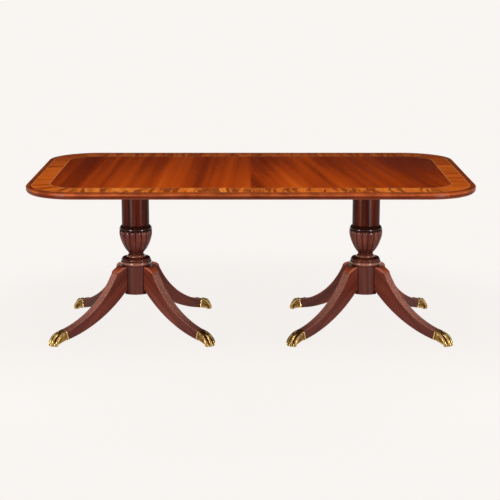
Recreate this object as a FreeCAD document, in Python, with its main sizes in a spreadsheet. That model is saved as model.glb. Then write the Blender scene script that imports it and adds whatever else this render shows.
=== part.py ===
"""Double pedestal dining table: two sliding half tops on two turned pedestals with sabre legs.

Millimetres, +Z up, origin on the floor below the middle of the top, X along the table, front at -Y.
"""
import FreeCAD, Part
import math
import os
from types import SimpleNamespace

import Sketcher

# Driving sizes, in millimetres and degrees
SIZES = {
    # Whole table
    "table_length": 2000,
    "table_width": 1200,
    "table_height": 760,
    "corner_radius": 232,
    "top_thickness": 30,
    "seam_gap": 0.6,
    "pedestal_spread": 1094,
    "wood_clearance": 0.1,
    "overrun": 10,
    # Moulded edge of the top
    "border_width": 24,
    "arris_radius": 4,
    "quirk_height": 17,
    "quirk_depth": 2.5,
    "quirk_width": 2,
    "edge_undercut": 9,
    "edge_curve_radius": 18,
    # Veneers and stringing
    "veneer_thickness": 1.5,
    "string_width": 3,
    "side_band_width": 105,
    "end_band_width": 74,
    "field_corner_radius": 130,
    # Cross bearers and pedestal block
    "bearer_length": 900,
    "bearer_width": 50,
    "bearer_depth": 45,
    "bearer_taper": 120,
    "bearer_tip_depth": 18,
    "bearer_gap": 5,
    "block_side": 240,
    "block_depth": 45,
    "block_chamfer": 20,
    # Wood screws
    "screw_radius": 2.5,
    "screw_head_radius": 4.5,
    "screw_head_height": 4,
    "screw_bite": 18,
    "screw_margin": 40,
    # Extension rails
    "rail_end_gap": 22,
    "rail_width": 26,
    "rail_depth": 45,
    "rail_offset": 250,
    "rail_relief": 1.5,
    "slide_clearance": 0.3,
    "tongue_depth": 9,
    "tongue_base": 12,
    "tongue_tip": 19,
    # Seam pins and sockets
    "pin_radius": 5,
    "pin_bed": 30,
    "pin_reach": 20,
    "pin_spacing": 400,
    "pin_clearance": 0.3,
    "socket_radius": 8,
    "socket_depth": 30,
    # Latches
    "latch_offset": 120,
    "latch_reach": 60,
    "latch_nose": 18,
    "latch_width": 24,
    "latch_thickness": 4,
    "latch_drop": 2,
    "latch_post_radius": 4,
    "latch_head_radius": 8,
    "latch_head_height": 3,
    "latch_clearance": 0.3,
    "latch_bed": 16,
    "keeper_side": 30,
    # Column shaft
    "shaft_radius": 65,
    "shaft_length": 180,
    "shaft_tenon_radius": 28,
    "shaft_foot_tenon_radius": 24,
    "shaft_foot_tenon": 22,
    # Fluted urn
    "urn_shoulder_proud": 14,
    "urn_shoulder_depth": 20,
    "urn_shoulder_round": 21,
    "urn_bead_step": 1.5,
    "urn_radius": 80.7,
    "urn_lip_height": 17,
    "urn_belly_height": 97,
    "urn_foot_radius": 42.6,
    "urn_neck_height": 10,
    "urn_neck_radius": 38,
    "urn_ring_radius": 41,
    "urn_tenon_radius": 24,
    "urn_tenon": 20,
    "flute_count": 16,
    "flute_depth": 4.5,
    "flute_width": 9,
    "flute_sweep": 38,
    "flute_lift": 4,
    # Collar with bell foot and two rings
    "bell_set": 7,
    "bell_height": 13,
    "bell_round": 26,
    "upper_ring_set": 6,
    "upper_ring_height": 14,
    "upper_ring_bulge": 3.7,
    "lower_ring_set": 1,
    "lower_ring_height": 18,
    "lower_ring_bulge": 4.7,
    "collar_tenon_radius": 42,
    "collar_tenon": 20,
    # Hub
    "hub_radius": 75,
    "hub_height": 138,
    "hub_recess_wall": 9,
    "dovetail_depth": 14,
    "dovetail_mouth": 16,
    "dovetail_back": 22,
    "dovetail_clearance": 0.15,
    # Tie rod, nuts, washers and base plate
    "rod_radius": 6,
    "rod_clearance": 0.5,
    "rod_stub": 3,
    "nut_flats": 19,
    "nut_height": 10,
    "washer_lip": 3,
    "foot_washer_radius": 18,
    "washer_thickness": 2.5,
    "plate_thickness": 5,
    "plate_screw_margin": 14,
    # Sabre legs
    "front_leg_angle": 42,
    "rear_leg_angle": 48,
    "leg_width": 40,
    "leg_drop": 6,
    "leg_root_rise": 19,
    "knee_length": 55,
    "knee_drop": 23,
    "knee_round": 62,
    "knee_step": 3,
    "ankle_reach": 422.8,
    "ankle_height": 62.3,
    "ankle_slope": 13,
    "ankle_depth": 43,
    "under_radius": 650,
    "reed_count": 5,
    "reed_depth": 2.2,
    "reed_height": 1.9,
    "reed_margin": 2.5,
    "leg_tenon": 40,
    "leg_tenon_width": 26,
    "leg_tenon_depth": 26,
    # Brass paw caps
    "paw_proud": 1.5,
    "ferrule_length": 9,
    "paw_length": 84.2,
    "paw_width": 62,
    "knuckle_drop": 5.3,
    "knuckle_round": 150,
    "toe_length": 39,
    "toe_height": 20,
    "toe_round": 60,
    "toe_overhang": 7,
    "toe_bottom_round": 26,
    "pad_length": 34,
    "toe_count": 4,
    "toe_gap": 4,
    "toe_gap_depth": 30,
    "toe_gap_floor": 7,
    "paw_front_round": 48,
}

# Shares of the sizes that they follow
ROOT_SHARE = 0.8
PAW_FRONT_SHARE = 0.45
NECK_RING_SHARE = 0.67
QUIRK_LIP_SHARE = 0.5


class Size:
    """A number together with the sheet expression that gives it, so each formula is written once."""

    def __init__(self, value, text):
        self.value = float(value)
        self.text = text

    def __add__(self, other):
        other = as_size(other)
        return Size(self.value + other.value, f"({self.text} + {other.text})")

    def __sub__(self, other):
        other = as_size(other)
        return Size(self.value - other.value, f"({self.text} - {other.text})")

    def __mul__(self, other):
        other = as_size(other)
        return Size(self.value * other.value, f"({self.text} * {other.text})")

    def __truediv__(self, other):
        other = as_size(other)
        return Size(self.value / other.value, f"({self.text} / {other.text})")

    def __neg__(self):
        return Size(-self.value, f"(-1 * {self.text})")

    def __radd__(self, other):
        return as_size(other) + self

    def __rsub__(self, other):
        return as_size(other) - self

    def __rmul__(self, other):
        return as_size(other) * self


def as_size(number):
    """Let plain shares and counts take part in size formulas."""
    return number if isinstance(number, Size) else Size(number, repr(float(number)))


def sine(angle):
    """Sine of an angle in degrees."""
    return Size(math.sin(math.radians(angle.value)), f"sin({angle.text})")


def cosine(angle):
    """Cosine of an angle in degrees."""
    return Size(math.cos(math.radians(angle.value)), f"cos({angle.text})")


def root(square):
    """Square root."""
    return Size(math.sqrt(square.value), f"sqrt({square.text})")


def heading(across, up):
    """Angle in degrees, from straight up, of a step across and up."""
    angle = math.degrees(math.atan2(across.value, up.value))
    return Size(angle, f"(atan2({across.text}; {up.text}) / 1deg)")


def arc_radius(chord, bulge):
    """Radius of the arc that stands a bulge proud of its chord."""
    return (chord * chord / 4 + bulge * bulge) / bulge / 2


ZERO = Size(0, "0")

doc = FreeCAD.newDocument("double_pedestal_table")
sheet = doc.addObject("Spreadsheet::Sheet", "sizes")
for row, (alias, number) in enumerate(SIZES.items(), start=1):
    sheet.set(f"A{row}", alias)
    sheet.set(f"B{row}", str(number))
    sheet.setAlias(f"B{row}", alias)
doc.recompute()
d = SimpleNamespace(**{alias: Size(number, f"sizes.{alias}") for alias, number in SIZES.items()})

# Heights and places that follow from the driving sizes
under_top = d.table_height - d.top_thickness
core_top = d.table_height - d.veneer_thickness
column_top = under_top - d.block_depth
shaft_foot = column_top - d.shaft_length
urn_shoulder = shaft_foot - d.urn_shoulder_depth
urn_widest = urn_shoulder - d.urn_lip_height
urn_foot = urn_widest - d.urn_belly_height
urn_neck = urn_foot - d.urn_neck_height
bell_foot = urn_neck - d.bell_height
ring_seat = bell_foot - d.upper_ring_height
hub_top = ring_seat - d.lower_ring_height
hub_bottom = hub_top - d.hub_height
leg_top = hub_top - d.leg_drop
leg_root = hub_bottom + d.leg_root_rise
rod_bore = d.rod_radius + d.rod_clearance
nut_recess = d.washer_thickness + d.nut_height + d.rod_stub
foot_recess = d.plate_thickness + nut_recess
hub_shelf = hub_bottom + foot_recess
hub_recess_radius = d.hub_radius - d.dovetail_depth - d.hub_recess_wall
washer_radius = d.shaft_tenon_radius + d.washer_lip
pedestal_x = d.pedestal_spread / 2

nodes = []


# Small tools for sketches and features

def new_body(label):
    """Start one sub-part, which is written out under its label."""
    body = doc.addObject("PartDesign::Body", label)
    nodes.append(body)
    return body


def new_sketch(body, plane, lift=ZERO):
    """Put a sketch on one of the body's origin planes, or lifted along that plane's normal."""
    sketch = body.newObject("Sketcher::SketchObject", f"{body.Label}_sketch")
    support = next(item for item in body.Origin.OriginFeatures if item.Role == plane)
    sketch.AttachmentSupport = [(support, "")]
    sketch.MapMode = "FlatFace"
    if lift is not ZERO:
        sketch.setExpression("AttachmentOffset.Base.z", lift.text)
    return sketch


def bind(sketch, constraints):
    """Add constraints and tie each to its formula."""
    places = sketch.addConstraint([made for made, _ in constraints])
    for place, (_, size) in zip(places, constraints):
        if size is not None:
            sketch.setExpression(f"Constraints[{place}]", size.text)


def arc_between(start, end, radius):
    """The short arc from start to end; a positive radius bends left of the chord's direction."""
    middle = (start + end) / 2
    chord = end - start
    side = FreeCAD.Vector(-chord.y, chord.x, 0).normalize()
    height = math.sqrt(max(radius * radius - chord.Length ** 2 / 4, 0))
    centre = middle + side * math.copysign(height, radius)
    crest = centre + (middle - centre).normalize() * abs(radius) if height else middle - side * radius
    return Part.Arc(start, crest, end)


def outline(sketch, points, closed=True):
    """Draw lines and arcs through points (x, y) or (x, y, radius of the arc that arrives there)."""
    spots = [FreeCAD.Vector(point[0].value, point[1].value, 0) for point in points]
    first = len(sketch.Geometry)
    count = len(points) if closed else len(points) - 1
    shapes = []
    for index in range(count):
        follow = (index + 1) % len(points)
        if len(points[follow]) == 3:
            shapes.append(arc_between(spots[index], spots[follow], points[follow][2].value))
        else:
            shapes.append(Part.LineSegment(spots[index], spots[follow]))
    sketch.addGeometry(shapes, False)
    constraints = []
    ends = []
    for index in range(count):
        follow = (index + 1) % len(points)
        geo = first + index
        clockwise = False
        if len(points[follow]) == 3:
            radius = points[follow][2]
            clockwise = radius.value < 0
            radius = -radius if clockwise else radius
            constraints.append((Sketcher.Constraint("Radius", geo, radius.value), radius))
        ends.append((geo, 2, 1) if clockwise else (geo, 1, 2))
    for index, (geo, start, end) in enumerate(ends):
        constraints += fixed_point(geo, start, points[index])
        if closed or index + 1 < count:
            other, other_start, _ = ends[(index + 1) % count]
            constraints.append((Sketcher.Constraint("Coincident", geo, end, other, other_start), None))
        else:
            constraints += fixed_point(geo, end, points[index + 1])
    bind(sketch, constraints)


def fixed_point(geo, end, point):
    """Two distances from the sketch's origin that hold one point."""
    return [
        (Sketcher.Constraint("DistanceX", -1, 1, geo, end, point[0].value), point[0]),
        (Sketcher.Constraint("DistanceY", -1, 1, geo, end, point[1].value), point[1]),
    ]


def circles(sketch, centres, radius):
    """Draw equal circles."""
    for x, y in centres:
        centre = FreeCAD.Vector(x.value, y.value, 0)
        geo = sketch.addGeometry(Part.Circle(centre, FreeCAD.Vector(0, 0, 1), radius.value), False)
        constraints = fixed_point(geo, 3, (x, y))
        constraints.append((Sketcher.Constraint("Radius", geo, radius.value), radius))
        bind(sketch, constraints)


def rectangle(low_x, high_x, low_y, high_y):
    """Four corners of an upright rectangle."""
    return [(low_x, low_y), (high_x, low_y), (high_x, high_y), (low_x, high_y)]


def push(body, kind, sketch, length, reverse=False, symmetric=False):
    """Pad or pocket a sketch by a bound length."""
    feature = body.newObject(f"PartDesign::{kind}", f"{body.Label}_{kind.lower()}")
    feature.Profile = sketch
    feature.SideType = "Symmetric" if symmetric else "One side"
    feature.Reversed = reverse
    feature.Length = length.value
    feature.setExpression("Length", length.text)
    return feature


def pad(body, plane, points, length, lift=ZERO, symmetric=False):
    """Pad one outline along its plane's normal."""
    sketch = new_sketch(body, plane, lift)
    outline(sketch, points)
    return push(body, "Pad", sketch, length, symmetric=symmetric)


def cut(body, plane, points, length, lift=ZERO, symmetric=False):
    """Pocket one outline along its plane's normal."""
    sketch = new_sketch(body, plane, lift)
    outline(sketch, points)
    return push(body, "Pocket", sketch, length, reverse=True, symmetric=symmetric)


def pins(body, plane, centres, radius, length, lift=ZERO):
    """Pad equal round pins along the plane's normal."""
    sketch = new_sketch(body, plane, lift)
    circles(sketch, centres, radius)
    return push(body, "Pad", sketch, length)


def bores(body, plane, centres, radius, length, lift=ZERO):
    """Pocket equal round holes along the plane's normal."""
    sketch = new_sketch(body, plane, lift)
    circles(sketch, centres, radius)
    return push(body, "Pocket", sketch, length, reverse=True)


def turn(body, points):
    """Turn an outline, drawn as (radius, height), about the vertical axis."""
    sketch = new_sketch(body, "XZ_Plane")
    outline(sketch, points)
    feature = body.newObject("PartDesign::Revolution", f"{body.Label}_turning")
    feature.Profile = sketch
    feature.ReferenceAxis = (sketch, ["V_Axis"])
    return feature


def scoop(body, centre, start_angle, sweep, points):
    """Cut an outline, drawn as (reach, across), swept about a cross axis through centre (x, z)."""
    sketch = new_sketch(body, "XY_Plane")
    sketch.AttachmentOffset = FreeCAD.Placement(
        FreeCAD.Vector(centre[0].value, 0, centre[1].value),
        FreeCAD.Rotation(FreeCAD.Vector(0, 1, 0), start_angle.value),
    )
    sketch.setExpression("AttachmentOffset.Base.x", centre[0].text)
    sketch.setExpression("AttachmentOffset.Base.z", centre[1].text)
    sketch.setExpression("AttachmentOffset.Rotation.Angle", start_angle.text)
    outline(sketch, points)
    feature = body.newObject("PartDesign::Groove", f"{body.Label}_scoop")
    feature.Profile = sketch
    feature.ReferenceAxis = (sketch, ["V_Axis"])
    feature.Angle = sweep.value
    feature.setExpression("Angle", sweep.text)
    return feature


def place(body, x=ZERO, y=ZERO, z=ZERO, angle=ZERO):
    """Move a finished sub-part to its seat, turned about the vertical axis."""
    body.Placement = FreeCAD.Placement(
        FreeCAD.Vector(x.value, y.value, z.value),
        FreeCAD.Rotation(FreeCAD.Vector(0, 0, 1), angle.value),
    )
    for axis, size in zip("xyz", (x, y, z)):
        body.setExpression(f"Placement.Base.{axis}", size.text)
    body.setExpression("Placement.Rotation.Angle", angle.text)


# The top, drawn as the right half; the left half is the same piece turned half round

HALF_TURN = Size(180, "180")
QUARTER_TURN = Size(90, "90")
SIDES = {"left": HALF_TURN, "right": ZERO}
seam = d.seam_gap / 2


def half_path(inset_x, inset_y, radius):
    """One half top's rim, from the front of the seam round the end to the back of the seam."""
    end = d.table_length / 2 - inset_x
    side = d.table_width / 2 - inset_y
    return [
        (seam, -side),
        (end - radius, -side),
        (end, -side + radius, radius),
        (end, side - radius),
        (end - radius, side, radius),
        (seam, side),
    ]


def back_along(path):
    """The same rim followed the other way, with its arcs bent to suit."""
    arcs = [point[2] if len(point) == 3 else None for point in path]
    turned = [(path[-1][0], path[-1][1])]
    for index in range(len(path) - 1, 0, -1):
        spot = path[index - 1][:2]
        turned.append(spot + (-arcs[index],) if arcs[index] else spot)
    return turned


def rim(inset):
    """A rim at an even distance inside the edge of the top."""
    return half_path(inset, inset, d.corner_radius - inset)


def field_rim(margin):
    """The rim of the field, which has its own corner, let out by a margin."""
    inset_x = d.border_width + d.string_width + d.end_band_width + d.string_width - margin
    inset_y = d.border_width + d.string_width + d.side_band_width + d.string_width - margin
    return half_path(inset_x, inset_y, d.field_corner_radius + margin)


def veneer(label, outer, inner=None):
    """A veneer sheet between two rims, or inside one rim."""
    body = new_body(label)
    points = outer + back_along(inner) if inner else outer
    pad(body, "XY_Plane", points, d.veneer_thickness, core_top)
    return body


def stringing(label):
    """The outer and inner light lines let into the veneer."""
    body = new_body(label)
    outer = rim(d.border_width) + back_along(rim(d.border_width + d.string_width))
    inner = field_rim(d.string_width) + back_along(field_rim(ZERO))
    pad(body, "XY_Plane", outer, d.veneer_thickness, core_top)
    pad(body, "XY_Plane", inner, d.veneer_thickness, core_top)
    return body


def edge_moulding(label):
    """Lipping with a rounded arris, a quirk and a rounded lower member, run round the half."""
    body = new_body(label)
    path = new_sketch(body, "XY_Plane")
    outline(path, rim(ZERO), closed=False)
    profile = new_sketch(body, "YZ_Plane", seam)
    face = -d.table_width / 2
    back = face + d.border_width
    lower = face + d.quirk_depth
    quirk_top = d.table_height - d.quirk_height
    quirk_bottom = quirk_top - d.quirk_width
    outline(profile, [
        (back, under_top),
        (back, d.table_height),
        (face + d.arris_radius, d.table_height),
        (face, d.table_height - d.arris_radius, d.arris_radius),
        (face, quirk_top),
        (lower, quirk_top),
        (lower, quirk_bottom),
        (lower - d.quirk_depth * QUIRK_LIP_SHARE, quirk_bottom),
        (lower + d.edge_undercut, under_top, d.edge_curve_radius),
    ])
    pipe = body.newObject("PartDesign::AdditivePipe", f"{label}_pipe")
    pipe.Profile = profile
    pipe.Spine = (path, [f"Edge{number}" for number in range(1, 6)])
    return body


pin_places = [(d.pin_spacing * step, under_top + d.top_thickness / 2) for step in (-1, 0, 1)]


def top_core(label, bore_radius, bore_depth):
    """The veneered board of one half, bored at the seam and piloted for its screws."""
    body = new_body(label)
    pad(body, "XY_Plane", rim(d.border_width), d.top_thickness - d.veneer_thickness, under_top)
    bores(body, "YZ_Plane", pin_places, bore_radius, bore_depth + seam)
    bores(body, "XY_Plane", block_screws + bearer_screws + rail_screws, d.screw_radius, d.screw_bite,
          under_top)
    bores(body, "XY_Plane", latch_places, d.latch_post_radius, d.latch_bed, under_top)
    return body


# Cross bearers, pedestal blocks, rails and the screws that hold them up to the top

block_half = d.block_side / 2
bearer_step = block_half + d.bearer_gap + d.bearer_width / 2
bearer_places = [pedestal_x - bearer_step, pedestal_x + bearer_step]
screw_reach = block_half - d.screw_margin
block_screws = [(pedestal_x + screw_reach * i, screw_reach * j) for i in (-1, 1) for j in (-1, 1)]
bearer_screw_y = d.bearer_length / 2 - d.bearer_taper - d.screw_margin
bearer_screws = [(x, bearer_screw_y * j) for x in bearer_places for j in (-1, 1)]
rail_step = d.rail_width + d.slide_clearance
rail_rows = {"rear": d.rail_offset + rail_step, "front": rail_step - d.rail_offset}
rail_half = bearer_places[0] - d.bearer_width / 2 - d.rail_end_gap
rail_screw_x = [d.screw_margin, rail_half - d.screw_margin]
rail_screws = [(x, y + d.screw_head_radius) for y in rail_rows.values() for x in rail_screw_x]


def screw_holes(body, centres, depth):
    """Clearance holes for wood screws, with sunk heads, up through a piece of a given depth."""
    bottom = under_top - depth
    bores(body, "XY_Plane", centres, d.screw_radius, depth, bottom)
    bores(body, "XY_Plane", centres, d.screw_head_radius, d.screw_head_height, bottom)


def screws(body, centres, depth):
    """Wood screws up through a piece of a given depth into the core."""
    bottom = under_top - depth
    pins(body, "XY_Plane", centres, d.screw_head_radius, d.screw_head_height, bottom)
    pins(body, "XY_Plane", centres, d.screw_radius, depth + d.screw_bite, bottom)


def top_screws(label):
    """All screws of one half: block, bearers and rails."""
    body = new_body(label)
    screws(body, block_screws, d.block_depth)
    screws(body, bearer_screws, d.bearer_depth)
    screws(body, rail_screws, d.rail_depth)
    return body


def bearers(label):
    """Two cross bearers with tapered ends, one each side of the pedestal block."""
    body = new_body(label)
    half = d.bearer_length / 2
    neck = half - d.bearer_taper
    bottom = under_top - d.bearer_depth
    tip = under_top - d.bearer_tip_depth
    side = [
        (-half, under_top), (-half, tip), (-neck, bottom),
        (neck, bottom), (half, tip), (half, under_top),
    ]
    for x in bearer_places:
        pad(body, "YZ_Plane", side, d.bearer_width, x - d.bearer_width / 2)
    screw_holes(body, bearer_screws, d.bearer_depth)
    return body


def mounting_block(label):
    """The block that takes the column's tenon and the tie rod's top nut."""
    body = new_body(label)
    near = pedestal_x - block_half
    far = pedestal_x + block_half
    cut_off = d.block_chamfer
    pad(body, "XY_Plane", [
        (near + cut_off, -block_half), (far - cut_off, -block_half),
        (far, -block_half + cut_off), (far, block_half - cut_off),
        (far - cut_off, block_half), (near + cut_off, block_half),
        (near, block_half - cut_off), (near, -block_half + cut_off),
    ], d.block_depth, column_top)
    axis = [(pedestal_x, ZERO)]
    bores(body, "XY_Plane", axis, d.shaft_tenon_radius + d.wood_clearance, d.block_depth, column_top)
    bores(body, "XY_Plane", axis, washer_radius + d.wood_clearance, nut_recess, under_top - nut_recess)
    screw_holes(body, block_screws, d.block_depth)
    return body


rail_middle = under_top - d.rail_depth / 2


def tongue_shape(face, side, slack):
    """A dovetail's four points on a rail's face, drawn at y and z, let out by a slack."""
    tip = face + (d.tongue_depth + slack) * side
    return [
        (face, rail_middle - d.tongue_base / 2 - slack),
        (tip, rail_middle - d.tongue_tip / 2 - slack),
        (tip, rail_middle + d.tongue_tip / 2 + slack),
        (face, rail_middle + d.tongue_base / 2 + slack),
    ]


def half_rail(label, row):
    """A rail fixed to one half, grooved along its side and relieved where it passes under the other half."""
    body = new_body(label)
    low = row - d.rail_width / 2
    high = row + d.rail_width / 2
    bottom = under_top - d.rail_depth
    groove = tongue_shape(low, 1, d.slide_clearance)
    section = rectangle(low, high, bottom, under_top) + groove[::-1]
    pad(body, "YZ_Plane", section, rail_half * 2, -rail_half)
    relief = under_top - d.rail_relief
    passing = rectangle(-rail_half - d.overrun, seam, low - d.overrun, high + d.overrun)
    cut(body, "XY_Plane", passing, d.rail_relief + d.overrun, relief)
    places = [(x, row + d.screw_head_radius) for x in rail_screw_x]
    screw_holes(body, places, d.rail_depth)
    return body


def middle_rail(label, row):
    """The middle rail, with a dovetail tongue on each side that rides in both fixed rails."""
    body = new_body(label)
    low = row - d.rail_width / 2
    high = row + d.rail_width / 2
    bottom = under_top - d.rail_depth
    relief = under_top - d.rail_relief
    near = tongue_shape(low, -1, ZERO)
    far = tongue_shape(high, 1, ZERO)
    section = [(low, bottom), (high, bottom)] + far + [(high, relief), (low, relief)] + near[::-1]
    pad(body, "YZ_Plane", section, rail_half * 2, -rail_half)
    return body


# Seam pins and sockets, latches and keepers

def seam_pins(label):
    """Pins bedded in one half that reach across the seam."""
    body = new_body(label)
    pins(body, "YZ_Plane", pin_places, d.pin_radius, d.pin_bed + d.pin_reach + d.seam_gap,
         -seam - d.pin_reach)
    return body


def seam_sockets(label):
    """Brass bushes let into the other half for the pins."""
    body = new_body(label)
    pins(body, "YZ_Plane", pin_places, d.socket_radius, d.socket_depth, seam)
    bores(body, "YZ_Plane", pin_places, d.pin_radius + d.pin_clearance, d.socket_depth, seam)
    return body


latch_top = under_top - d.latch_drop
latch_bottom = latch_top - d.latch_thickness
latch_arm = d.latch_reach / 2
latch_places = [(latch_arm, -d.latch_offset), (latch_arm, d.latch_offset)]


def latch_lever(label, row, quarter, notch_side):
    """A turn lever, drawn along X from its pivot, with a notch that swings on to the keeper's post."""
    body = new_body(label)
    half = d.latch_width / 2
    gap = d.latch_post_radius + d.latch_clearance
    nose = d.latch_reach + d.latch_nose
    pad(body, "XY_Plane", [
        (ZERO, -half, half),
        (nose - half, -half),
        (nose, ZERO, half),
        (nose - half, half, half),
        (ZERO, half),
        (-half, ZERO, half),
    ], d.latch_thickness, latch_bottom)
    bores(body, "XY_Plane", [(ZERO, ZERO)], gap, d.latch_thickness, latch_bottom)
    bores(body, "XY_Plane", [(d.latch_reach, ZERO)], gap, d.latch_thickness, latch_bottom)
    mouth = (half + d.overrun) * notch_side
    slot = rectangle(d.latch_reach - gap, d.latch_reach + gap, ZERO, mouth)
    cut(body, "XY_Plane", slot, d.latch_thickness, latch_bottom)
    place(body, -latch_arm, row, angle=quarter)
    return body


def latch_posts(label, keeper):
    """Headed posts under the top, one for each latch; a keeper's post has a plate at its root."""
    body = new_body(label)
    bottom = latch_bottom - d.latch_clearance
    pins(body, "XY_Plane", latch_places, d.latch_post_radius, under_top - bottom + d.latch_bed, bottom)
    pins(body, "XY_Plane", latch_places, d.latch_head_radius, d.latch_head_height,
         bottom - d.latch_head_height)
    collar_depth = d.latch_drop - d.latch_clearance
    collar_low = under_top - collar_depth
    if keeper:
        half = d.keeper_side / 2
        for x, y in latch_places:
            plate = rectangle(x - half, x + half, y - half, y + half)
            pad(body, "XY_Plane", plate, collar_depth, collar_low)
    else:
        pins(body, "XY_Plane", latch_places, d.latch_head_radius, collar_depth, collar_low)
    return body


# Turned pieces of a pedestal, drawn about their own axis

def column_shaft(label):
    """The plain column, with a tenon at each end and the tie rod's bore."""
    body = new_body(label)
    top = under_top - nut_recess
    foot = shaft_foot - d.shaft_foot_tenon
    turn(body, [
        (rod_bore, foot), (d.shaft_foot_tenon_radius, foot),
        (d.shaft_foot_tenon_radius, shaft_foot), (d.shaft_radius, shaft_foot),
        (d.shaft_radius, column_top), (d.shaft_tenon_radius, column_top),
        (d.shaft_tenon_radius, top), (rod_bore, top),
    ])
    return body


def fluted_urn(label):
    """The urn below the column, with a rolled shoulder, a neck ring and flutes between its lobes."""
    body = new_body(label)
    swell = d.urn_radius - d.urn_foot_radius
    belly = arc_radius(d.urn_belly_height * 2, swell)
    axis = d.urn_radius - belly
    lip_radius = axis + root(belly * belly - d.urn_lip_height * d.urn_lip_height)
    shoulder = urn_shoulder + d.urn_bead_step
    shoulder_radius = d.shaft_radius + d.urn_shoulder_proud
    mortise_floor = shaft_foot - d.shaft_foot_tenon - d.wood_clearance
    mortise = d.shaft_foot_tenon_radius + d.wood_clearance
    tenon_foot = urn_neck - d.urn_tenon
    ring_height = d.urn_neck_height * NECK_RING_SHARE
    ring_low = urn_foot - ring_height
    turn(body, [
        (rod_bore, tenon_foot), (d.urn_tenon_radius, tenon_foot),
        (d.urn_tenon_radius, urn_neck), (d.urn_neck_radius, urn_neck),
        (d.urn_neck_radius, ring_low), (d.urn_ring_radius, ring_low),
        (d.urn_ring_radius, urn_foot, ring_height),
        (d.urn_foot_radius, urn_foot),
        (d.urn_radius, urn_widest, belly),
        (lip_radius, urn_shoulder, belly),
        (shoulder_radius - d.urn_bead_step, urn_shoulder),
        (shoulder_radius - d.urn_bead_step, shoulder),
        (shoulder_radius, shoulder),
        (d.shaft_radius, shaft_foot, d.urn_shoulder_round),
        (mortise, shaft_foot), (mortise, mortise_floor), (rod_bore, mortise_floor),
    ])
    half = d.flute_width / 2
    floor = belly - d.flute_depth
    lip = belly + d.overrun
    flute = scoop(body, (axis, urn_widest), -d.flute_lift, d.flute_sweep, [
        (floor, ZERO), (belly, half), (lip, half), (lip, -half), (belly, -half),
    ])
    doc.recompute()
    pattern = body.newObject("PartDesign::PolarPattern", f"{label}_flutes")
    pattern.Originals = [flute]
    pattern.Axis = (next(item for item in body.Origin.OriginFeatures if item.Role == "Z_Axis"), [""])
    pattern.Angle = HALF_TURN.value * 2
    pattern.setExpression("Occurrences", d.flute_count.text)
    body.Tip = pattern
    return body


def collar(label):
    """The bell foot under the urn's neck and the two rings over the hub."""
    body = new_body(label)
    tenon_foot = hub_top - d.collar_tenon
    mortise_floor = urn_neck - d.urn_tenon - d.wood_clearance
    mortise = d.urn_tenon_radius + d.wood_clearance
    lower = d.hub_radius - d.lower_ring_set
    upper = lower - d.upper_ring_set
    turn(body, [
        (rod_bore, tenon_foot), (d.collar_tenon_radius, tenon_foot),
        (d.collar_tenon_radius, hub_top), (lower, hub_top),
        (lower, ring_seat, arc_radius(d.lower_ring_height, d.lower_ring_bulge)),
        (upper, ring_seat),
        (upper, bell_foot, arc_radius(d.upper_ring_height, d.upper_ring_bulge)),
        (upper - d.bell_set, bell_foot),
        (d.urn_neck_radius, urn_neck, d.bell_round),
        (mortise, urn_neck), (mortise, mortise_floor), (rod_bore, mortise_floor),
    ])
    return body


def dovetail(slack):
    """A leg's dovetail seen from above, along X from the hub's axis, let out by a slack."""
    back = d.hub_radius - d.dovetail_depth - slack
    mouth = d.dovetail_mouth / 2 + slack
    wide = d.dovetail_back / 2 + slack
    return back, mouth, wide


LEGS = {
    "front_right": -d.front_leg_angle,
    "rear_right": d.rear_leg_angle,
    "rear_left": HALF_TURN - d.rear_leg_angle,
    "front_left": HALF_TURN + d.front_leg_angle,
}
tongue_top = leg_top - d.dovetail_depth


def rotated(x, y, angle):
    """A point turned about the origin."""
    return x * cosine(angle) - y * sine(angle), x * sine(angle) + y * cosine(angle)


def hub(label):
    """The drum that the legs slide into from below, recessed for the base plate."""
    body = new_body(label)
    mortise_floor = hub_top - d.collar_tenon - d.wood_clearance
    mortise = d.collar_tenon_radius + d.wood_clearance
    turn(body, [
        (hub_recess_radius, hub_bottom), (d.hub_radius, hub_bottom), (d.hub_radius, hub_top),
        (mortise, hub_top), (mortise, mortise_floor), (rod_bore, mortise_floor), (rod_bore, hub_shelf),
        (hub_recess_radius, hub_shelf),
    ])
    back, mouth, wide = dovetail(d.dovetail_clearance)
    lip = d.hub_radius + d.overrun
    flare = mouth - (wide - mouth) * d.overrun / d.dovetail_depth
    height = tongue_top + d.dovetail_clearance - hub_bottom
    for angle in LEGS.values():
        corners = [(back, -wide), (lip, -flare), (lip, flare), (back, wide)]
        cut(body, "XY_Plane", [rotated(x, y, angle) for x, y in corners], height, hub_bottom)
    bores(body, "XY_Plane", plate_screws, d.screw_radius, d.screw_bite, hub_shelf)
    return body


plate_screw_reach = hub_recess_radius - d.plate_screw_margin
plate_screws = [(plate_screw_reach, ZERO), (ZERO, plate_screw_reach),
                (-plate_screw_reach, ZERO), (ZERO, -plate_screw_reach)]
plate_low = hub_shelf - d.plate_thickness


def tie_rod(label):
    """The iron rod that draws the pedestal together."""
    body = new_body(label)
    bottom = plate_low - nut_recess
    pins(body, "XY_Plane", [(ZERO, ZERO)], d.rod_radius, under_top - bottom, bottom)
    return body


def hexagon(flats):
    """A nut's outline, by its width over the flats."""
    corner = flats / 2 / cosine(Size(30, "30"))
    turns = [Size(60 * step, str(60 * step)) for step in range(6)]
    return [(corner * cosine(angle), corner * sine(angle)) for angle in turns]


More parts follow.
